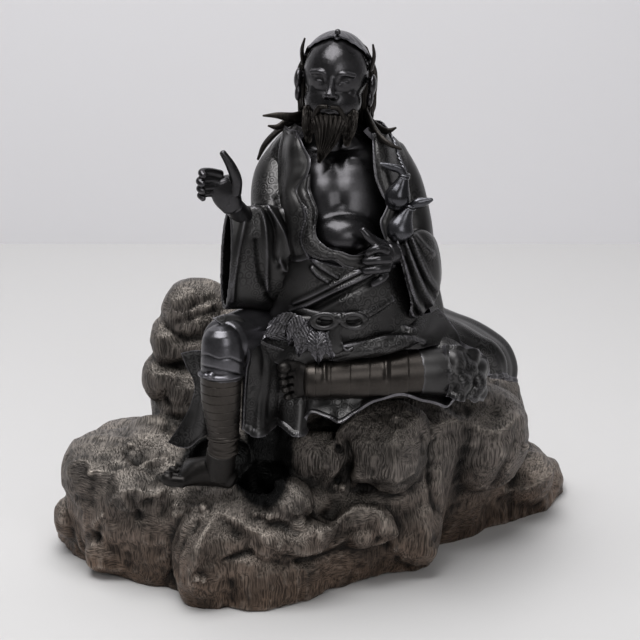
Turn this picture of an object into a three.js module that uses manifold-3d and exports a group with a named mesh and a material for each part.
// Bronze sculpture of a robed hermit seated on a rock, in millimetres, +Z up, facing -Y.
// The castings are separate sections: hollow rock and trunk, cloth sections, limbs, hands, head,
// gourds and ribbons, held together by studs, dowels, pins and rivets.
import * as THREE from "three";
import { mergeVertices } from "three/addons/utils/BufferGeometryUtils.js";
import Module from "manifold-3d";

const wasm = await Module();
wasm.setup();

// Driving dimensions
const BASE_WIDTH = 576; // rock, side to side
const BASE_DEPTH = 382; // rock, front to back
const ROCK_AXIS = [20, 20]; // upright axis that the rock's ribs stand round
const SEAT_TOP = 226; // top of the rock under the figure
const ROCK_WALL = 9; // cast wall of the hollow rock
const TRUNK_WALL = 8; // cast wall of the hollow trunk
const CLOTH = 5; // thickness of the cloth sections
const HEM = 4; // thickness of the hem and the skirt
const RIBBON = 3.2; // thickness of ribbons, leaves and lapels
const FIT_GAP = 0.3; // clearance between neighbouring castings
const FOOT_LENGTH = 84;
const FOOT_WIDTH = 42;
const HEAD_HEIGHT = 94; // chin to crown
const HAIR_LOCKS = 13; // combed locks round the hair
const HAIR_RELIEF = 1; // how far a lock stands out
const NECK_DEPTH = 26; // length of the neck below the chin, most of it inside the trunk
const PIN_DEPTH = 17; // neck pin below the chin
const STUD_RADIUS = 5; // seat studs
const STUD_ABOVE = 26; // length of a stud inside the trunk's lug
const STUD_BELOW = 22; // length of a stud below its pad
const LUG_RADIUS = 13; // lugs in the trunk and pads under the rock's seat
const SEAT_LEVEL = 214; // underside of the trunk
const PAD_LEVEL = 186; // underside of the pads inside the rock
const WASHER_RADIUS = 11;
const WASHER_THICKNESS = 2;
const NUT_RADIUS = 9; // across the corners
const NUT_HEIGHT = 7;
const DOWEL_RADIUS = 3; // wrist and ankle dowels
const DOWEL_LENGTH = 26;
const PIN_RADIUS = 2.5; // neck pin
const PIN_LENGTH = 44;
const RIVET_RADIUS = 2;
const RIVET_LENGTH = 14;
const TRIM_TOLERANCE = 0.02; // slivers below this go when a piece is trimmed

// Places that several pieces share
const HEAD_CENTRE = new THREE.Vector3(22, -46, 541);
const HEAD_TURN = new THREE.Euler(-0.14, 0.06, -0.13); // chin up, leaning and turned to its right
const REAR_STUD = [28, 6];
const STUD_PLACES = [[-22, -40], [78, -40], REAR_STUD];
const RIGHT_FOREARM = [-60, -80, 396]; // where the hands' forearms end inside the sleeves
const LEFT_FOREARM = [104, -76, 372];
const RIGHT_ANKLE = [-95, -152, 161]; // where the feet meet the leggings
const LEFT_ANKLE = [-3, -146, 246.5];
const UPPER_GOURD = [84, -105, 432];
const LOWER_GOURD = [88, -110, 398];

const bronze = (colour, roughness) =>
  new THREE.MeshStandardMaterial({ color: colour, roughness, metalness: 1 });
const ROCK_BRONZE = bronze(0x4a423b, 0.6);
const CLOTH_BRONZE = bronze(0x35343a, 0.42);
const FLESH_BRONZE = bronze(0x3a3940, 0.3);
const HAIR_BRONZE = bronze(0x3b332e, 0.48);
const WRAP_BRONZE = bronze(0x403833, 0.45);
const GOURD_BRONZE = bronze(0x3d3c41, 0.28);
const IRON = bronze(0x5a5048, 0.7);

const AXIS = {
  x: new THREE.Vector3(1, 0, 0),
  y: new THREE.Vector3(0, 1, 0),
  z: new THREE.Vector3(0, 0, 1),
};
const vec = ([x, y, z]) => new THREE.Vector3(x, y, z);
const curve = (points) => new THREE.CatmullRomCurve3(points, false, "catmullrom", 0.5);

// Solids: a geometry becomes a manifold solid with its faces out, and goes back to a geometry.
function solid(geometry) {
  const bare = new THREE.BufferGeometry();
  bare.setAttribute("position", geometry.getAttribute("position").clone());
  if (geometry.index) bare.setIndex(geometry.index.clone());
  const merged = mergeVertices(bare, 1e-3);
  const found = merged.index.array;
  const faces = [];
  for (let i = 0; i < found.length; i += 3) {
    const [a, b, c] = [found[i], found[i + 1], found[i + 2]];
    if (a !== b && b !== c && c !== a) faces.push(a, b, c);
  }
  const vertProperties = new Float32Array(merged.getAttribute("position").array);
  const made = (order) =>
    new wasm.Manifold(new wasm.Mesh({ numProp: 3, vertProperties, triVerts: new Uint32Array(order) }));
  const first = made(faces);
  return first.volume() > 0 ? first : made(faces.reverse());
}

function geometryOf(body) {
  const mesh = body.getMesh();
  const geometry = new THREE.BufferGeometry();
  geometry.setAttribute("position", new THREE.BufferAttribute(mesh.vertProperties, 3));
  geometry.setIndex(new THREE.BufferAttribute(mesh.triVerts, 1));
  geometry.computeVertexNormals();
  return geometry;
}

// The same solid grown outwards, so that every face moves out by at least the growth.
function swollen(body, growth) {
  const geometry = geometryOf(body);
  const at = geometry.getAttribute("position");
  const normal = geometry.getAttribute("normal");
  const order = geometry.index.array;
  const corner = (i) => new THREE.Vector3().fromBufferAttribute(at, order[i]);
  const facing = new Float32Array(at.count).fill(1);
  for (let i = 0; i < order.length; i += 3) {
    const [a, b, c] = [corner(i), corner(i + 1), corner(i + 2)];
    const face = b.sub(a).cross(c.sub(a)).normalize();
    for (const k of [order[i], order[i + 1], order[i + 2]])
      facing[k] = Math.min(facing[k], face.dot(new THREE.Vector3().fromBufferAttribute(normal, k)));
  }
  for (let i = 0; i < at.count; i++) {
    const move = growth / Math.max(facing[i], 0.6);
    at.setX(i, at.getX(i) + normal.getX(i) * move);
    at.setY(i, at.getY(i) + normal.getY(i) * move);
    at.setZ(i, at.getZ(i) + normal.getZ(i) * move);
  }
  return solid(geometry);
}

const joined = (bodies) => bodies.reduce((whole, body) => whole.add(body));
const largest = (body) => body.decompose().reduce((a, b) => (b.volume() > a.volume() ? b : a));

const centroid = (ring) => ring.reduce((sum, p) => sum.add(p), vec([0, 0, 0])).divideScalar(ring.length);

// A closed skin over rings of points, with a fan over each end ring.
function skin(rings) {
  const sides = rings[0].length;
  const points = rings.flat();
  const faces = [];
  rings.slice(1).forEach((ring, i) => {
    for (let j = 0; j < sides; j++) {
      const next = (j + 1) % sides;
      const [a, b] = [i * sides + j, i * sides + next];
      faces.push(a, b, b + sides, a, b + sides, a + sides);
    }
  });
  const cap = (first, ring, turned) => {
    const middle = points.length;
    points.push(centroid(ring));
    for (let j = 0; j < sides; j++) {
      const [a, b] = [first + j, first + ((j + 1) % sides)];
      faces.push(...(turned ? [middle, b, a] : [middle, a, b]));
    }
  };
  cap(0, rings[0], true);
  cap((rings.length - 1) * sides, rings.at(-1), false);
  const geometry = new THREE.BufferGeometry().setFromPoints(points);
  geometry.setIndex(faces);
  return geometry;
}

// Rings along stations [x, y, z, half width, half thickness]; side is the direction of the width.
function stationRings(stations, { side = AXIS.x, sides = 8, steps = 5, fold = () => 0, inset = 0 }) {
  const line = curve(stations.map(vec));
  const widths = curve(stations.map(([, , , a, b]) => new THREE.Vector3(a, b, 0)));
  const rings = [];
  for (let i = 0; i <= steps; i++) {
    const t = i / steps;
    const centre = line.getPoint(t);
    const run = line.getTangent(t);
    const across = side.clone().addScaledVector(run, -side.dot(run)).normalize();
    const deep = new THREE.Vector3().crossVectors(run, across);
    const half = widths.getPoint(t);
    const ring = [];
    for (let j = 0; j < sides; j++) {
      const angle = (2 * Math.PI * j) / sides;
      const extra = fold(angle, t) - inset;
      ring.push(
        centre
          .clone()
          .addScaledVector(across, (half.x + extra) * Math.cos(angle))
          .addScaledVector(deep, (half.y + extra) * Math.sin(angle)),
      );
    }
    rings.push(ring);
  }
  return rings;
}

// One end ring drawn in to a rounded tip.
function tipRings(ring, neighbour, share) {
  const centre = centroid(ring);
  const out = centre.clone().sub(centroid(neighbour)).normalize();
  const reach = share * ring.reduce((least, p) => Math.min(least, p.distanceTo(centre)), Infinity);
  const lift = Math.PI / 4;
  const drawn = ring.map((p) => centre.clone().lerp(p, Math.cos(lift)));
  return [drawn.map((p) => p.addScaledVector(out, reach * Math.sin(lift)))];
}

// A limb: a tube through stations, with its ends rounded by the given shares of their half width.
function limb(stations, { ends = [0.6, 0.6], ...options } = {}) {
  const rings = stationRings(stations, options);
  const head = ends[0] ? tipRings(rings[0], rings[1], ends[0]).reverse() : [];
  const tail = ends[1] ? tipRings(rings.at(-1), rings.at(-2), ends[1]) : [];
  return solid(skin([...head, ...rings, ...tail]));
}

// A hollow limb: open at its last station, with a wall, and closed at a depth inside.
function cup(stations, wall, depth, options) {
  const outer = stationRings(stations, options);
  const inner = stationRings(stations, { ...options, inset: wall });
  const count = Math.max(1, Math.round((outer.length - 1) * depth));
  const back = inner.slice(-1 - count).reverse();
  const start = tipRings(outer[0], outer[1], 0.5).reverse();
  return solid(skin([...start, ...outer, ...back]));
}

// A thick sheet over rows of points, smoothed both ways; wave lifts it off its surface.
function sheet(rows, { across = 8, down = 4, thick = CLOTH, wave = () => 0 } = {}) {
  const lines = rows.map((row) => curve(row.map(vec)));
  const at = (u, v) => curve(lines.map((line) => line.getPoint(u))).getPoint(v);
  const step = 0.01;
  const low = (t) => Math.max(0, t - step);
  const high = (t) => Math.min(1, t + step);
  const front = [];
  const back = [];
  for (let i = 0; i <= down; i++) {
    for (let j = 0; j <= across; j++) {
      const [u, v] = [j / across, i / down];
      const run = at(high(u), v).sub(at(low(u), v));
      const drop = at(u, high(v)).sub(at(u, low(v)));
      const normal = new THREE.Vector3().crossVectors(run, drop).normalize();
      const place = at(u, v).addScaledVector(normal, wave(u, v));
      front.push(place);
      back.push(place.clone().addScaledVector(normal, -thick));
    }
  }
  const wide = across + 1;
  const behind = front.length;
  const faces = [];
  const quad = (a, b, c, d) => faces.push(a, b, c, a, c, d);
  for (let i = 0; i < down; i++) {
    for (let j = 0; j < across; j++) {
      const a = i * wide + j;
      quad(a, a + wide, a + wide + 1, a + 1);
      quad(behind + a, behind + a + 1, behind + a + wide + 1, behind + a + wide);
    }
  }
  const edge = [];
  for (let j = 0; j < across; j++) edge.push(j);
  for (let i = 0; i < down; i++) edge.push(i * wide + across);
  for (let j = across; j > 0; j--) edge.push(down * wide + j);
  for (let i = down; i > 0; i--) edge.push(i * wide);
  edge.forEach((a, k) => {
    const b = edge[(k + 1) % edge.length];
    quad(a, b, behind + b, behind + a);
  });
  const geometry = new THREE.BufferGeometry().setFromPoints([...front, ...back]);
  geometry.setIndex(faces);
  return solid(geometry);
}

// A rounded lump; power below 1 squares its shoulders, tilt lifts its back.
function lump([x, y, z], [a, b, c], { power = 1, sides = 12, rings = 7, tilt = 0 } = {}) {
  const geometry = new THREE.SphereGeometry(1, sides, rings).rotateX(Math.PI / 2);
  const at = geometry.getAttribute("position");
  const squared = (t) => Math.sign(t) * Math.abs(t) ** power;
  for (let i = 0; i < at.count; i++)
    at.setXYZ(i, a * squared(at.getX(i)), b * squared(at.getY(i)), c * squared(at.getZ(i)));
  geometry.rotateX(tilt).translate(x, y, z);
  return solid(geometry);
}

// A straight rod from a centre point along a direction.
function rodGeometry(radius, length, direction, sides = 12) {
  const turn = new THREE.Quaternion().setFromUnitVectors(AXIS.y, direction.clone().normalize());
  return new THREE.CylinderGeometry(radius, radius, length, sides).applyQuaternion(turn);
}
const rod = (radius, length, centre, direction, sides) =>
  solid(rodGeometry(radius, length, direction, sides).translate(...centre));

// Rock: ribs round an upright axis, each a profile of [reach, height] from the ground to the seat,
// with a few boulders joined on, cored out and open below
const RIBS = [
  [[170, 0], [178, 34], [184, 76], [184, 120], [172, 164], [120, 204]],
  [[288, 0], [270, 30], [234, 72], [224, 126], [206, 166], [130, 206]],
  [[230, 0], [220, 36], [206, 78], [186, 122], [152, 166], [104, 206]],
  [[180, 0], [174, 36], [162, 80], [146, 124], [126, 168], [96, 206]],
  [[166, 0], [162, 38], [152, 82], [138, 126], [120, 168], [92, 206]],
  [[180, 0], [174, 38], [162, 82], [148, 126], [130, 168], [98, 206]],
  [[228, 0], [218, 38], [202, 80], [182, 124], [156, 166], [118, 206]],
  [[264, 0], [250, 36], [228, 74], [198, 108], [166, 138], [122, 186]],
  [[306, 0], [292, 34], [282, 72], [250, 110], [184, 132], [128, 176]],
  [[270, 0], [280, 32], [290, 78], [268, 116], [186, 140], [112, 178]],
  [[222, 0], [228, 36], [230, 76], [212, 114], [150, 130], [90, 178]],
  [[222, 0], [224, 36], [214, 76], [194, 110], [146, 124], [86, 172]],
  [[150, 0], [156, 34], [152, 70], [140, 104], [112, 134], [78, 178]],
  [[131, 0], [142, 34], [146, 74], [142, 112], [130, 150], [96, 190]],
  [[140, 0], [148, 34], [152, 76], [152, 116], [142, 154], [104, 194]],
  [[119, 0], [130, 34], [144, 76], [154, 118], [154, 156], [112, 198]],
];
const BOULDERS = {
  back_boulder: { at: [-118, 32, 150], r: [60, 58, 62] },
  back_shoulder: { at: [-112, 34, 214], r: [46, 44, 60] },
  back_peak: { at: [-129, 28, 256], r: [34, 34, 36] },
  back_ledge: { at: [-154, 20, 226], r: [22, 26, 26] },
  back_knob: { at: [-159, 20, 185], r: [28, 32, 28] },
  left_shoulder: { at: [-218, -48, 104], r: [50, 48, 36] },
  left_hump: { at: [-171, -34, 124], r: [34, 40, 26] },
  left_ledge: { at: [-181, -105, 100], r: [36, 30, 20] },
  left_foot: { at: [-216, -84, 26], r: [30, 30, 26] },
  left_toe: { at: [-266, -32, 40], r: [16, 24, 22] },
  front_lobe: { at: [-111, -154, 44], r: [38, 32, 56] },
  front_roof: { at: [-34, -144, 79], r: [52, 34, 17] },
  front_stone: { at: [-31, -138, 108], r: [25, 24, 19] },
  saddle_lip: { at: [39, -112, 70], r: [40, 32, 22] },
  mid_cheek: { at: [3, -86, 132], r: [30, 34, 28] },
  mid_boulder: { at: [72, -92, 148], r: [44, 50, 44] },
  mid_foot: { at: [106, -86, 50], r: [26, 30, 38] },
  right_block: { at: [176, 10, 118], r: [54, 60, 54] },
  right_shelf: { at: [230, 78, 44], r: [34, 44, 30] },
  right_toe: { at: [264, 128, 14], r: [20, 36, 20] },
  rear_left: { at: [-120, 120, 84], r: [56, 46, 70] },
  rear_middle: { at: [10, 146, 60], r: [62, 38, 62] },
  rear_right: { at: [120, 118, 92], r: [54, 46, 62] },
  rear_foot: { at: [186, 124, 32], r: [58, 46, 40] },
  rear_side: { at: [-204, 52, 58], r: [58, 50, 56] },
};
// The dark recess under the robe: a pit behind the front stone, and a cave that rises from it
const RECESS = {
  pit: { at: [-54, -114, 116], r: [27, 32, 62], tilt: 0 },
  cave: { at: [-54, -108, 150], r: [27, 70, 30], tilt: 0.35 },
};

// The rock's skin, drawn in by an inset; around and up set how finely it is divided.
function ribbedRock(inset, around, up) {
  const closed = (points) => new THREE.CatmullRomCurve3(points, true, "catmullrom", 0.5);
  const profiles = RIBS.map((rib) => curve(rib.map(([reach, height]) => vec([reach, 0, height]))));
  const rings = [];
  for (let i = 0; i <= up; i++) {
    const level = closed(profiles.map((profile) => profile.getPoint(i / up)));
    const ring = [];
    for (let j = 0; j < around; j++) {
      const at = level.getPoint(j / around);
      const angle = (2 * Math.PI * j) / around;
      const reach = at.x - inset;
      const [x, y] = [reach * Math.cos(angle), reach * Math.sin(angle)];
      ring.push(vec([ROCK_AXIS[0] + x, ROCK_AXIS[1] + y, at.z - inset]));
    }
    rings.push(ring);
  }
  const top = vec([...ROCK_AXIS, SEAT_TOP - inset]);
  const crown = rings.at(-1).map((p) => p.clone().lerp(top, 0.5).setZ(top.z));
  return solid(skin([...rings, crown]));
}

const recess = (growth) =>
  Object.values(RECESS).map(({ at, r, tilt }) =>
    lump(at, r.map((half) => half + growth), { tilt, sides: 14, rings: 10 }),
  );

function rockBase() {
  const boulders = Object.values(BOULDERS).map(({ at, r }) =>
    lump(at, r, { power: 0.85, sides: 10, rings: 6 }),
  );
  const mass = joined([ribbedRock(0, 30, 7), ...boulders]).trimByPlane([0, 0, 1], 0);
  const { min, max } = mass.boundingBox();
  const [low, high] = [vec(min), vec(max)];
  const pads = STUD_PLACES.map(([x, y]) =>
    rod(LUG_RADIUS, SEAT_LEVEL, [x, y, PAD_LEVEL + SEAT_LEVEL / 2], AXIS.z, 12),
  );
  const kept = [...pads, ...recess(ROCK_WALL)];
  const hollow = kept.reduce((left, body) => left.subtract(body), ribbedRock(ROCK_WALL, 16, 4));
  const shares = [BASE_WIDTH / (high.x - low.x), BASE_DEPTH / (high.y - low.y)];
  return mass
    .subtract(largest(hollow))
    .subtract(joined(recess(0)))
    .translate([-(low.x + high.x) / 2, -(low.y + high.y) / 2, 0])
    .scale([...shares, 1]);
}

// Trunk: bare chest and belly over a wrapped waist, hollow, with lugs for the studs
function trunk() {
  const stations = [
    [28, -32, SEAT_LEVEL, 84, 66],
    [27, -40, 262, 82, 74],
    [26, -51, 306, 77, 85],
    [24, -56, 352, 66, 75],
    [23, -54, 388, 61, 66],
    [23, -42, 432, 62, 52],
    [22, -36, 464, 44, 36],
    [21, -40, 484, 24, 24],
  ];
  const belly = lump([28, -98, 390], [35, 37, 26], { sides: 14, rings: 8 });
  const body = limb(stations, { sides: 12, steps: 6, ends: [0, 0.3] }).add(belly);
  const core = limb(
    stations.slice(0, -2).map(([x, y, z, a, b]) => [x, y, z, a - TRUNK_WALL, b - TRUNK_WALL]),
    { sides: 10, steps: 4, ends: [0, 0.5] },
  ).translate([0, 0, -FIT_GAP]);
  const lugs = STUD_PLACES.map(([x, y]) =>
    rod(LUG_RADIUS, 2 * (STUD_ABOVE + TRUNK_WALL), [x, y, SEAT_LEVEL], AXIS.z, 16),
  );
  const outwards = ([x, y]) => {
    const sideways = Math.sign(x - REAR_STUD[0]);
    return [x + sideways * LUG_RADIUS, y + (sideways ? 0 : LUG_RADIUS)];
  };
  const web = () => new THREE.BoxGeometry(LUG_RADIUS, LUG_RADIUS, 2 * STUD_ABOVE);
  const webs = STUD_PLACES.map((spot) => solid(web().translate(...outwards(spot), SEAT_LEVEL)));
  const hollow = [...lugs, ...webs].reduce((left, lug) => left.subtract(lug), core);
  return body.subtract(hollow);
}

// Robe: a mantle round the back, lapels, sleeves and skirts
function robeMantle() {
  const ring = (z, x, y, a, b, right, left) => {
    const points = [];
    for (let k = 0; k <= 8; k++) {
      const angle = THREE.MathUtils.degToRad(THREE.MathUtils.lerp(-right, left, k / 8));
      points.push([x + a * Math.sin(angle), y + b * Math.cos(angle), z]);
    }
    return points;
  };
  const rows = [
    ring(487, 21, -36, 40, 34, 128, 128),
    ring(466, 22, -34, 66, 46, 138, 132),
    ring(430, 24, -36, 84, 58, 146, 138),
    ring(380, 26, -34, 92, 66, 140, 136),
    ring(320, 28, -28, 98, 72, 122, 124),
    ring(262, 30, -20, 106, 76, 110, 112),
    ring(216, 32, -12, 116, 84, 104, 104),
  ];
  const wave = (u, v) => 4 * v * Math.sin(22 * u);
  return sheet(rows, { across: 16, down: 6, wave });
}

const lapel = (rows) => sheet(rows, { across: 3, down: 9, thick: RIBBON });

const rightLapel = () =>
  lapel([
    [[-27, -50, 483], [-22, -62, 486], [-18, -70, 488], [-15, -74, 489]],
    [[-31, -66, 471], [-24, -78, 475], [-17, -85, 477], [-11, -86, 477]],
    [[-33, -74, 460], [-24, -86, 463], [-15, -93, 465], [-5, -92, 466]],
    [[-33, -78, 453], [-24, -90, 456], [-14, -97, 458], [-4, -96, 460]],
    [[-34, -82, 443], [-26, -94, 447], [-17, -101, 449], [-8, -100, 450]],
    [[-36, -88, 431], [-29, -98, 434], [-24, -103, 436], [-18, -102, 435]],
    [[-35, -94, 416], [-27, -106, 420], [-19, -112, 422], [-11, -112, 423]],
    [[-33, -98, 401], [-25, -112, 406], [-16, -118, 408], [-8, -119, 409]],
    [[-31, -100, 380], [-24, -116, 386], [-18, -124, 388], [-11, -127, 391]],
    [[-27, -102, 361], [-19, -120, 367], [-11, -130, 370], [-3, -134, 374]],
  ]);

const leftLapel = () =>
  lapel([
    [[57, -76, 485], [62, -74, 484], [69, -66, 481], [75, -54, 475]],
    [[59, -88, 473], [65, -88, 473], [73, -80, 471], [81, -66, 467]],
    [[60, -95, 460], [67, -96, 460], [74, -90, 458], [84, -76, 454]],
    [[62, -100, 447], [69, -101, 448], [76, -96, 446], [87, -82, 442]],
    [[67, -104, 435], [73, -105, 435], [79, -100, 434], [89, -86, 429]],
    [[73, -107, 422], [77, -107, 422], [83, -102, 421], [91, -90, 417]],
    [[69, -112, 412], [74, -112, 411], [81, -106, 408], [90, -92, 402]],
    [[66, -116, 404], [72, -116, 403], [80, -109, 399], [90, -94, 393]],
    [[71, -118, 385], [77, -116, 385], [83, -110, 383], [91, -96, 378]],
  ]);

// A wide sleeve: a solid upper arm, and the open bag that hangs from it.
const sleeve = (arm, bag, side) =>
  limb(arm, { sides: 12, steps: 5 }).add(cup(bag, CLOTH, 0.5, { side: vec(side), sides: 16, steps: 6 }));

const rightSleeve = () =>
  sleeve(
    [[-24, -30, 452, 24, 26], [-36, -44, 428, 28, 32], [-40, -68, 400, 25, 32], [-32, -90, 374, 22, 30]],
    [[-12, -92, 358, 8, 42], [-34, -102, 361, 18, 54], [-62, -110, 366, 19, 55], [-90, -124, 368, 14, 53]],
    [0.45, -0.9, 0],
  );

const leftSleeve = () =>
  sleeve(
    [[72, -30, 450, 24, 26], [86, -42, 422, 26, 30], [98, -60, 388, 23, 28], [104, -80, 362, 20, 26]],
    [[124, -82, 352, 8, 30], [115, -92, 350, 16, 42], [102, -106, 347, 18, 46], [88, -118, 342, 14, 44]],
    [0.65, -0.75, 0],
  );

const bellyWrap = () =>
  sheet(
    [
      [[-11, -99, 447], [-9, -100, 450], [-6, -98, 451]],
      [[-18, -102, 435], [-12, -106, 438], [-6, -103, 438]],
      [[-15, -110, 426], [-9, -113, 429], [-3, -110, 429]],
      [[-9, -116, 420], [-4, -118, 419], [1, -115, 418]],
      [[-7, -121, 412], [-4, -123, 410], [0, -120, 408]],
      [[-10, -125, 400], [-5, -128, 401], [0, -126, 401]],
      [[-11, -128, 390], [-5, -133, 392], [2, -131, 393]],
      [[-6, -132, 380], [1, -137, 384], [9, -135, 387]],
      [[6, -135, 375], [11, -139, 379], [17, -137, 383]],
      [[20, -137, 375], [24, -140, 378], [28, -138, 380]],
      [[31, -137, 367], [34, -140, 372], [37, -138, 378]],
      [[43, -135, 363], [44, -138, 371], [46, -136, 378]],
      [[55, -131, 364], [55, -134, 372], [55, -132, 379]],
    ],
    { across: 2, down: 16, thick: RIBBON },
  );

const waistWrap = () =>
  sheet(
    [
      [[-56, -84, 352], [-14, -120, 370], [24, -136, 366], [62, -126, 356], [102, -78, 356]],
      [[-58, -86, 334], [-20, -122, 340], [26, -140, 338], [74, -122, 338], [104, -79, 342]],
      [[-62, -88, 318], [-24, -124, 310], [26, -142, 306], [78, -122, 314], [108, -80, 322]],
      [[-66, -88, 292], [-24, -124, 288], [26, -142, 286], [82, -120, 290], [112, -80, 298]],
    ],
    { across: 8, down: 3, wave: (u, v) => 1.5 * Math.sin(14 * u + 6 * v) },
  );

const lapRobe = () =>
  sheet(
    [
      [[-70, -92, 300], [-30, -122, 296], [26, -138, 290], [80, -118, 292], [128, -64, 292]],
      [[-70, -122, 296], [-36, -138, 284], [20, -148, 278], [84, -134, 282], [142, -80, 278]],
      [[-64, -140, 286], [-36, -142, 262], [14, -142, 268], [84, -130, 274], [150, -92, 262]],
    ],
    { across: 12, down: 3, wave: (u, v) => 2 * Math.sin(20 * u + 5 * v) },
  );

const frontHem = () =>
  sheet(
    [
      [
        [-104, -156, 317], [-84, -150, 319], [-66, -145, 297], [-52, -142, 287], [-37, -140, 281],
        [-25, -139, 276], [-14, -138, 271], [-3, -136, 264], [10, -132, 256], [26, -130, 253],
        [40, -128, 252], [57, -126, 254], [76, -122, 254], [94, -116, 252], [113, -108, 247],
        [130, -98, 241], [143, -88, 239],
      ],
      [
        [-72, -162, 288], [-61, -151, 284], [-54, -146, 277], [-44, -143, 269], [-35, -140, 263],
        [-26, -139, 258], [-17, -138, 253], [-8, -137, 248], [3, -134, 244], [20, -132, 241],
        [35, -130, 240], [53, -128, 241], [73, -124, 242], [92, -118, 240], [113, -110, 234],
        [132, -100, 228], [145, -90, 229],
      ],
      [
        [-73, -164, 263], [-60, -154, 258], [-52, -149, 253], [-45, -146, 246], [-37, -141, 241],
        [-27, -140, 235], [-18, -140, 232], [-10, -140, 229], [-1, -140, 230], [16, -140, 228],
        [31, -140, 228], [49, -136, 229], [69, -132, 232], [90, -126, 232], [113, -118, 226],
        [132, -108, 220], [147, -96, 221],
      ],
      [
        [-75, -164, 230], [-64, -158, 227], [-57, -158, 223], [-49, -151, 219], [-39, -141, 219],
        [-29, -145, 215], [-18, -150, 211], [-9, -146, 212], [-2, -146, 220], [15, -148, 217],
        [29, -148, 215], [47, -142, 220], [67, -138, 226], [89, -134, 228], [113, -128, 222],
        [133, -118, 214], [147, -104, 216],
      ],
      [
        [-75, -164, 201], [-66, -164, 195], [-59, -168, 192], [-49, -156, 194], [-40, -140, 198],
        [-31, -150, 196], [-19, -162, 189], [-9, -150, 194], [-2, -152, 211], [14, -158, 207],
        [27, -160, 203], [43, -152, 211], [65, -146, 221], [88, -142, 225], [114, -138, 217],
        [135, -130, 208], [148, -116, 212],
      ],
    ],
    { across: 32, down: 5, thick: HEM },
  );

const rightSkirt = () =>
  sheet(
    [
      [[-86, -116, 272], [-113, -134, 274], [-125, -130, 272], [-137, -124, 267]],
      [[-88, -118, 252], [-113, -138, 258], [-123, -134, 255], [-131, -128, 253]],
      [[-88, -120, 236], [-112, -140, 239], [-118, -138, 237], [-123, -136, 236]],
      [[-86, -120, 216], [-112, -142, 217], [-121, -140, 213], [-130, -134, 208]],
      [[-84, -120, 198], [-111, -142, 198], [-127, -142, 190], [-142, -134, 186]],
      [[-84, -118, 182], [-112, -140, 183], [-131, -144, 170], [-152, -134, 172]],
    ],
    { across: 8, down: 8, thick: HEM, wave: (u, v) => 1.5 * v * Math.sin(9 * u) },
  );

const leftTail = () =>
  sheet(
    [
      [[112, -72, 284], [122, -50, 280], [130, -24, 274], [132, 0, 268]],
      [[137, -76, 266], [151, -48, 264], [164, -14, 258], [164, 12, 250]],
      [[155, -70, 252], [171, -44, 250], [187, -4, 241], [184, 24, 232]],
      [[170, -62, 243], [186, -38, 240], [203, 0, 225], [198, 28, 216]],
      [[180, -56, 230], [196, -34, 224], [210, 2, 205], [206, 28, 196]],
      [[184, -54, 214], [198, -34, 205], [208, -4, 189], [206, 20, 182]],
    ],
    { across: 8, down: 5, wave: (u, v) => 2.5 * v * Math.sin(10 * u) },
  );

const kneeCloth = () =>
  sheet(
    [
      [[130, -118, 272], [146, -110, 268], [158, -100, 262], [168, -90, 254], [176, -76, 244]],
      [[136, -126, 257], [150, -124, 254], [162, -108, 246], [170, -102, 240], [177, -82, 230]],
      [[139, -128, 241], [152, -132, 240], [162, -114, 230], [171, -110, 223], [176, -86, 212]],
      [[136, -130, 224], [148, -134, 219], [156, -120, 216], [165, -112, 211], [171, -92, 202]],
    ],
    { across: 6, down: 4 },
  );

// Sash round the waist, with its bow
const sash = () =>
  limb(
    [
      [-40, -112, 322, 5, 3.6],
      [-4, -138, 315, 5, 3.6],
      [25, -147, 315, 5, 3.6],
      [52, -141, 316, 5.5, 3.6],
      [79, -122, 326, 5.5, 3.6],
    ],
    { side: AXIS.z, sides: 6, steps: 10, ends: [0, 0] },
  );

function sashBow() {
  const loop = (x, lean) =>
    solid(
      new THREE.TorusGeometry(6.4, 2.3, 6, 12)
        .scale(1.5, 1, 1)
        .rotateX(Math.PI / 2)
        .rotateZ(lean)
        .translate(x, -150, 312),
    );
  const knot = lump([25, -151, 315], [5.5, 5, 6], { sides: 10, rings: 6 });
  const tail = limb(
    [
      [24, -150, 308, 5, 2.5],
      [20, -153, 296, 7, 2.5],
      [24, -154, 284, 8, 2.5],
      [38, -152, 282, 6, 2.5],
    ],
    { sides: 6, steps: 6 },
  );
  return joined([loop(10, 0.12), loop(40, -0.12), knot, tail]);
}

// Apron of leaves on the lap
function leafApron() {
  const leaf = (start, tip, half) => {
    const [from, to] = [vec(start), vec(tip)];
    const middle = from.clone().lerp(to, 0.5).add(vec([0, -3, 1]));
    const side = to.clone().sub(from).cross(vec([0, 1, 0.2])).normalize();
    const stations = [[...start, 4, 2], [...middle, half, 2.2], [...tip, 2, 1]];
    return limb(stations, { side, sides: 6, steps: 3, ends: [0, 0.5] });
  };
  return joined([
    leaf([-16, -143, 309], [-46, -138, 303], 11),
    leaf([-10, -145, 312], [-26, -147, 288], 11),
    leaf([-22, -142, 300], [-52, -140, 292], 10),
    leaf([-6, -147, 304], [-16, -150, 276], 11),
    leaf([12, -150, 300], [18, -152, 274], 10),
    leaf([2, -150, 300], [4, -154, 270], 10),
    lump([-8, -145, 306], [28, 6, 8], { sides: 8, rings: 5 }),
  ]);
}

// Legs: breeches over the knees, wrapped shins and bare feet
const rightKnee = () =>
  joined([
    limb([[-48, -82, 278, 32, 30], [-70, -120, 286, 29, 27], [-90, -154, 291, 26, 25]], {
      sides: 10,
      steps: 3,
    }),
    limb([[-93, -164, 294, 21, 21], [-93, -167, 278, 22, 21.5], [-94, -168, 258, 21, 20.5]], {
      sides: 12,
      steps: 3,
      ends: [0.9, 0],
    }),
  ]);

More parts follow.
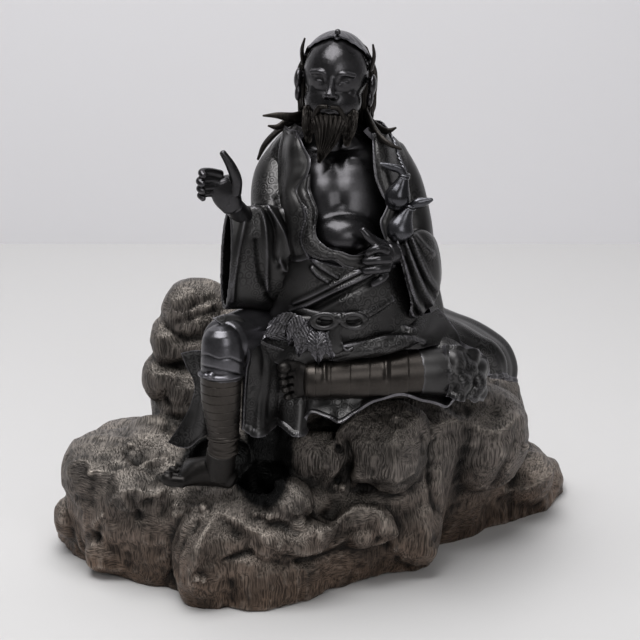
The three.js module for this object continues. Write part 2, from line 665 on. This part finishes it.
const rightLegging = () =>
  limb(
    [
      [-95, -168, 262, 20.5, 20],
      [-95, -165, 234, 20, 19.5],
      [-94, -160, 208, 17.5, 17],
      [-93.5, -156, 188, 15.5, 15.5],
      [-94, -153, 174, 15.5, 15.5],
      [...RIGHT_ANKLE, 16.5, 16],
    ],
    { sides: 12, steps: 6, ends: [0, 0] },
  );

const leftKnee = () =>
  joined([
    limb([[100, -64, 256, 34, 31], [120, -84, 252, 31, 28], [138, -104, 242, 28, 26]], {
      side: AXIS.z,
      sides: 10,
      steps: 3,
    }),
    limb([[142, -104, 241, 27, 26], [124, -112, 242, 27, 26], [104, -118, 243, 26.5, 25]], {
      side: AXIS.z,
      sides: 10,
      steps: 3,
      ends: [0.9, 0],
    }),
  ]);

const leftLegging = () =>
  limb(
    [
      [112, -116, 243, 25, 24],
      [76, -126, 244, 24.5, 23.5],
      [36, -136, 245, 22, 21],
      [0, -145, 246, 19, 18],
    ],
    { side: AXIS.z, sides: 10, steps: 5, ends: [0, 0.3] },
  );

// A bare foot built heel to toe along -Y with its sole down, then turned and carried to its ankle.
function foot(turn, ankle, medial, shank) {
  const half = FOOT_WIDTH / 2;
  const sole = limb(
    [
      [0, 12, 11, 12, 11],
      [0, -4, 16, 13, 17],
      [0, -22, 13, 15, 14],
      [0, -42, 10, half, 10],
      [0, -50, 8, half, 8],
    ],
    { sides: 10, steps: 6 },
  );
  const toes = [0, 1, 2, 3, 4].map((k) => {
    const thick = k === 0 ? 5.8 : 4.4 - 0.2 * k;
    const x = medial * (half - thick - k * (FOOT_WIDTH - 9) * 0.245);
    const reach = FOOT_LENGTH - 22 - 0.9 * k * k;
    const stations = [[x, -42, 8, thick, thick], [x, -reach + thick, 6.5, thick, thick]];
    return limb(stations, { sides: 6, steps: 1 });
  });
  const matrix = new THREE.Matrix4().makeRotationFromEuler(turn).setPosition(...ankle);
  return joined([sole, ...shank, ...toes]).translate([0, 0, -34]).transform(matrix.elements);
}

const rightFoot = () => {
  const shank = limb([[0, 0, 14, 13, 15], [0, 0, 40, 15, 15]], { sides: 12, steps: 1, ends: [0, 0] });
  return foot(new THREE.Euler(-0.12, 0, -1.75, "ZYX"), [-96, -151, 160], 1, [shank]);
};
const leftFoot = () => foot(new THREE.Euler(0, Math.PI / 2, -1.32, "ZYX"), [34, -157, 247], -1, []);

// Hands: a palm with four fingers and a thumb, each a bent limb
function hand(palm, wrist, fingers, side) {
  const digits = fingers.map((stations) => limb(stations, { side, sides: 6, steps: 2 }));
  return joined([
    limb(palm, { side, sides: 8, steps: 3 }),
    limb(wrist, { side, sides: 8, steps: 2, ends: [0, 0.2] }),
    ...digits,
  ]);
}

const rightHand = () =>
  hand(
    [[-82, -136, 428, 11, 8], [-88, -139, 442, 15, 9], [-92, -140, 456, 14, 8]],
    [[...RIGHT_FOREARM, 13, 12], [-72, -112, 410, 12, 11], [-82, -134, 430, 11, 9]],
    [
      [
        [-94, -140, 463, 5, 5], [-104, -148, 468, 4.4, 4.4],
        [-111, -156, 470, 4, 4], [-109, -162, 468, 3.3, 3.3],
      ],
      [
        [-95, -141, 457, 5, 5], [-105, -150, 461, 4.6, 4.6],
        [-113, -158, 462, 4.2, 4.2], [-110, -164, 460, 3.4, 3.4],
      ],
      [
        [-96, -141, 451, 5, 5], [-106, -150, 453, 4.4, 4.4],
        [-113, -157, 454, 4, 4], [-110, -163, 452, 3.3, 3.3],
      ],
      [
        [-97, -140, 445, 4.6, 4.6], [-107, -148, 446, 4, 4],
        [-113, -154, 446, 3.6, 3.6], [-110, -160, 444, 3, 3],
      ],
      [
        [-80, -139, 444, 7.5, 7], [-78, -141, 458, 6, 6],
        [-83, -143, 473, 5, 4.8], [-91, -144, 487, 3.4, 3.2],
      ],
    ],
    vec([0.75, 0.3, -0.6]),
  );

const leftHand = () =>
  hand(
    [[74, -132, 378, 13, 8], [68, -138, 373, 15, 8], [62, -141, 370, 13, 7]],
    [[...LEFT_FOREARM, 12, 12], [90, -112, 374, 11, 11], [74, -132, 377, 11, 9]],
    [
      [
        [72, -142, 384, 4.6, 4.6], [63, -148, 388, 4.2, 4.2],
        [55, -148, 384, 3.6, 3.6], [53, -144, 380, 3, 3],
      ],
      [
        [74, -143, 375, 4.8, 4.8], [64, -150, 377, 4.4, 4.4],
        [53, -149, 375, 3.8, 3.8], [51, -144, 373, 3.2, 3.2],
      ],
      [
        [73, -143, 366, 4.6, 4.6], [63, -150, 367, 4.2, 4.2],
        [52, -149, 365, 3.6, 3.6], [50, -144, 364, 3, 3],
      ],
      [[71, -142, 359, 4.2, 4.2], [66, -148, 355, 3.8, 3.8], [59, -148, 350, 3.2, 3.2]],
      [
        [70, -136, 386, 6, 5.5], [62, -142, 392, 5, 5],
        [54, -145, 400, 4.2, 4.2], [48, -145, 407, 3.2, 3.2],
      ],
    ],
    vec([0.1, 0.3, 1]),
  );

// Head, in its own frame with the face towards -Y, then turned and carried to the neck
const headMatrix = new THREE.Matrix4().makeRotationFromEuler(HEAD_TURN).setPosition(HEAD_CENTRE);
const onNeck = (body) => body.transform(headMatrix.elements);
const CROWN = HEAD_HEIGHT * 0.47;
const CHIN = CROWN - HEAD_HEIGHT;

function head() {
  return onNeck(
    joined([
      lump([0, 0, 4], [33, 42, CROWN - 6], { sides: 12, rings: 8 }),
      lump([0, -10, CHIN / 2], [29, 31, -CHIN / 2 + 2], { sides: 10, rings: 6 }),
      limb([[0, -39, 2, 4, 5], [0, -44, -8, 4.5, 5], [0, -46, -17, 7, 6]], { sides: 6, steps: 3 }),
      limb([[0, 2, CHIN + 12, 19, 20], [0, 7, CHIN - NECK_DEPTH, 18, 19]], {
        sides: 8,
        steps: 1,
        ends: [0, 0],
      }),
    ]),
  );
}

function beard() {
  const goatee = [
    [0, -31, CHIN + 9, 20, 10],
    [0, -35, CHIN - 2, 15, 9],
    [-1, -38, CHIN - 14, 10.5, 7],
    [-4, -41, CHIN - 27, 4.5, 4],
    [-6, -42, CHIN - 35, 1.2, 1.2],
  ];
  const tuft = (sign) => [
    [sign * 22, -24, CHIN + 16, 6, 6],
    [sign * 20.5, -30, CHIN, 7, 6],
    [sign * 19.5, -34, CHIN - 16, 2.5, 2.5],
  ];
  const tufts = [1, -1].map((sign) => limb(tuft(sign), { sides: 6, steps: 3 }));
  return onNeck(joined([limb(goatee, { sides: 8, steps: 4 }), ...tufts]));
}

const hair = () =>
  limb(
    [
      [23, -26, 566, 33, 24],
      [23, -20, 540, 40, 31],
      [23, -14, 508, 40, 30],
      [22, -6, 486, 38, 24],
      [22, 8, 462, 36, 14],
    ],
    {
      sides: 2 * HAIR_LOCKS,
      steps: 5,
      ends: [0.5, 0.5],
      fold: (angle) => HAIR_RELIEF * Math.cos(HAIR_LOCKS * angle),
    },
  );

function headCloth() {
  const outer = lump([0, 0, 4], [35.5, 44.5, CROWN - 3], { sides: 14, rings: 9 });
  const keep = solid(
    new THREE.BoxGeometry(120, 120, 60).translate(0, 30, 30).rotateX(-0.36).translate(0, -30, CROWN - 2),
  );
  return onNeck(outer.intersect(keep));
}

const capBead = () => onNeck(lump([0, -18, CROWN + 1], [3.2, 3.2, 3.2], { sides: 10, rings: 7 }));

const capWing = (sign) =>
  onNeck(
    limb([[sign * 35, 2, 8, 5, 2.2], [sign * 37, 1, 22, 4.5, 2], [sign * 35, 0, 34, 1.2, 1]], {
      side: AXIS.y,
      sides: 8,
      steps: 5,
      ends: [0.5, 0.5],
    }),
  );

// Ribbons of the head cloth and a loose lock of hair
const ribbon = (stations, side) => limb(stations, { side, sides: 6, steps: 5, ends: [0, 0.5] });
const ribbonUpper = () =>
  ribbon(
    [
      [-6, -24, 494, 7, RIBBON],
      [-20, -36, 493, 6, RIBBON],
      [-38, -42, 497, 3.4, RIBBON / 1.4],
      [-53, -43, 497, 1, 1],
    ],
    AXIS.z,
  );
const ribbonLower = () =>
  ribbon(
    [
      [-10, -10, 486, 6, RIBBON],
      [-26, -24, 486, 5, RIBBON],
      [-38, -32, 482, 3.4, RIBBON / 1.4],
      [-48, -35, 484, 1, 1],
    ],
    AXIS.z,
  );
const ribbonBack = () =>
  ribbon(
    [
      [-14, 8, 480, 6, RIBBON],
      [-36, 10, 468, 6, RIBBON],
      [-52, 8, 452, 5, RIBBON],
      [-60, 6, 436, 2, 1.4],
    ],
    AXIS.y,
  );
const ribbonLeft = () =>
  ribbon(
    [
      [52, -22, 490, 6, RIBBON],
      [64, -48, 486, 5, RIBBON],
      [74, -62, 486, 3.4, RIBBON / 1.4],
      [83, -64, 490, 1, 1],
    ],
    AXIS.z,
  );
const hairLock = () =>
  ribbon(
    [
      [52, -40, 500, 5, RIBBON],
      [62, -72, 488, 4.5, RIBBON],
      [74, -86, 480, 3, RIBBON / 1.4],
      [88, -88, 474, 1, 1],
    ],
    AXIS.z,
  );

// Gourds slung on a cord over the left shoulder
const gourd = (belly, stem) =>
  joined([limb(belly, { sides: 10, steps: 5 }), limb(stem, { sides: 8, steps: 4 })]);
const upperGourd = () =>
  gourd(
    [[82, -104, 422, 12, 12], [84, -105, 432, 14.5, 14.5], [89, -105, 446, 8, 8], [91, -105, 452, 4, 4]],
    [[91, -105, 451, 4, 4], [84, -106, 457, 6, 5.5], [76, -107, 461, 5, 4.5], [68, -108, 463, 2, 2]],
  );
const lowerGourd = () =>
  gourd(
    [[84, -110, 386, 11, 11], [87, -110, 398, 16.5, 16], [93, -110, 412, 9, 9], [97, -110, 421, 4, 4]],
    [[97, -110, 420, 4, 4], [104, -111, 424, 7, 6.5], [112, -111, 425, 5, 4.5], [119, -111, 427, 2.2, 2.2]],
  );
const binding = (centre, direction) => {
  const turn = new THREE.Quaternion().setFromUnitVectors(AXIS.z, direction.normalize());
  return solid(new THREE.TorusGeometry(5, 1.8, 6, 10).applyQuaternion(turn).translate(...centre));
};
const upperBinding = () => binding([90.5, -105, 451], vec([0.1, 0, 1]));
const lowerBinding = () => binding([96.5, -110, 420], vec([0.2, 0, 1]));
const gourdCord = () =>
  limb(
    [
      [92, -102, 455, 1.8, 1.8],
      [86, -92, 466, 1.8, 1.8],
      [80, -74, 480, 1.8, 1.8],
      [70, -44, 488, 1.8, 1.8],
      [64, -12, 482, 1.8, 1.8],
    ],
    { sides: 6, steps: 10, ends: [0, 0] },
  );

// Placing: each piece is trimmed to leave room for the pieces that are already there
const sculpture = new THREE.Group();
const rooms = [];

function meet(a, b) {
  const [p, q] = [a.boundingBox(), b.boundingBox()];
  return [0, 1, 2].every((k) => p.min[k] < q.max[k] && q.min[k] < p.max[k]);
}

function place(name, body, material) {
  const near = rooms.filter((room) => meet(room, body));
  const trimmed = near.reduce((left, room) => left.subtract(room), body);
  const kept = largest(solid(geometryOf(trimmed.simplify(TRIM_TOLERANCE))));
  rooms.push(swollen(body, FIT_GAP), kept);
  const mesh = new THREE.Mesh(geometryOf(kept), material);
  mesh.name = name;
  sculpture.add(mesh);
}

// Hardware
STUD_PLACES.forEach(([x, y], i) => {
  const number = i + 1;
  const low = PAD_LEVEL - STUD_BELOW;
  const length = SEAT_LEVEL + STUD_ABOVE - low;
  place(`seat_stud_${number}`, rod(STUD_RADIUS, length, [x, y, low + length / 2], AXIS.z, 12), IRON);
  const washerMiddle = PAD_LEVEL - FIT_GAP - WASHER_THICKNESS / 2;
  const washer = rod(WASHER_RADIUS, WASHER_THICKNESS, [x, y, washerMiddle], AXIS.z, 16);
  place(`seat_washer_${number}`, washer, IRON);
  const nutTop = PAD_LEVEL - 2 * FIT_GAP - WASHER_THICKNESS;
  place(`seat_nut_${number}`, rod(NUT_RADIUS, NUT_HEIGHT, [x, y, nutTop - NUT_HEIGHT / 2], AXIS.z, 6), IRON);
});
place("neck_pin", onNeck(rod(PIN_RADIUS, PIN_LENGTH, [0, 5, CHIN - PIN_DEPTH], AXIS.x)), IRON);
place("right_wrist_dowel", rod(DOWEL_RADIUS, DOWEL_LENGTH, RIGHT_FOREARM, vec([-0.3, -0.87, 0.4])), IRON);
place("left_wrist_dowel", rod(DOWEL_RADIUS, DOWEL_LENGTH, LEFT_FOREARM, vec([-0.41, -0.91, 0])), IRON);
place("right_ankle_dowel", rod(DOWEL_RADIUS, DOWEL_LENGTH, RIGHT_ANKLE, AXIS.z), IRON);
place("left_ankle_dowel", rod(DOWEL_RADIUS, DOWEL_LENGTH, LEFT_ANKLE, vec([1, 0.25, 0])), IRON);
const behind = ([x, y, z]) => [x, y + RIVET_LENGTH, z];
place("upper_gourd_rivet", rod(RIVET_RADIUS, RIVET_LENGTH, behind(UPPER_GOURD), AXIS.y, 8), IRON);
place("lower_gourd_rivet", rod(RIVET_RADIUS, RIVET_LENGTH, behind(LOWER_GOURD), AXIS.y, 8), IRON);

// Castings, from the trunk outwards, with the rock last
place("head", head(), FLESH_BRONZE);
place("trunk", trunk(), FLESH_BRONZE);
place("right_legging", rightLegging(), WRAP_BRONZE);
place("left_legging", leftLegging(), WRAP_BRONZE);
place("right_knee", rightKnee(), CLOTH_BRONZE);
place("left_knee", leftKnee(), CLOTH_BRONZE);
place("right_foot", rightFoot(), FLESH_BRONZE);
place("left_foot", leftFoot(), FLESH_BRONZE);
place("waist_wrap", waistWrap(), CLOTH_BRONZE);
place("belly_wrap", bellyWrap(), CLOTH_BRONZE);
place("lap_robe", lapRobe(), CLOTH_BRONZE);
place("front_hem", frontHem(), CLOTH_BRONZE);
place("knee_cloth", kneeCloth(), CLOTH_BRONZE);
place("right_skirt", rightSkirt(), CLOTH_BRONZE);
place("left_tail", leftTail(), CLOTH_BRONZE);
place("right_hand", rightHand(), FLESH_BRONZE);
place("left_hand", leftHand(), FLESH_BRONZE);
place("right_sleeve", rightSleeve(), CLOTH_BRONZE);
place("left_sleeve", leftSleeve(), CLOTH_BRONZE);
place("robe_mantle", robeMantle(), CLOTH_BRONZE);
place("right_lapel", rightLapel(), CLOTH_BRONZE);
place("left_lapel", leftLapel(), CLOTH_BRONZE);
place("sash", sash(), CLOTH_BRONZE);
place("sash_bow", sashBow(), CLOTH_BRONZE);
place("leaf_apron", leafApron(), CLOTH_BRONZE);
place("head_cloth", headCloth(), CLOTH_BRONZE);
place("beard", beard(), HAIR_BRONZE);
place("hair", hair(), HAIR_BRONZE);
place("cap_bead", capBead(), FLESH_BRONZE);
place("right_cap_wing", capWing(-1), HAIR_BRONZE);
place("left_cap_wing", capWing(1), HAIR_BRONZE);
place("left_ribbon", ribbonLeft(), HAIR_BRONZE);
place("right_ribbon_upper", ribbonUpper(), HAIR_BRONZE);
place("right_ribbon_lower", ribbonLower(), HAIR_BRONZE);
place("right_ribbon_back", ribbonBack(), HAIR_BRONZE);
place("hair_lock", hairLock(), HAIR_BRONZE);
place("upper_gourd_binding", upperBinding(), GOURD_BRONZE);
place("lower_gourd_binding", lowerBinding(), GOURD_BRONZE);
place("upper_gourd", upperGourd(), GOURD_BRONZE);
place("lower_gourd", lowerGourd(), GOURD_BRONZE);
place("gourd_cord", gourdCord(), GOURD_BRONZE);
place("rock_base", rockBase(), ROCK_BRONZE);

export default sculpture;
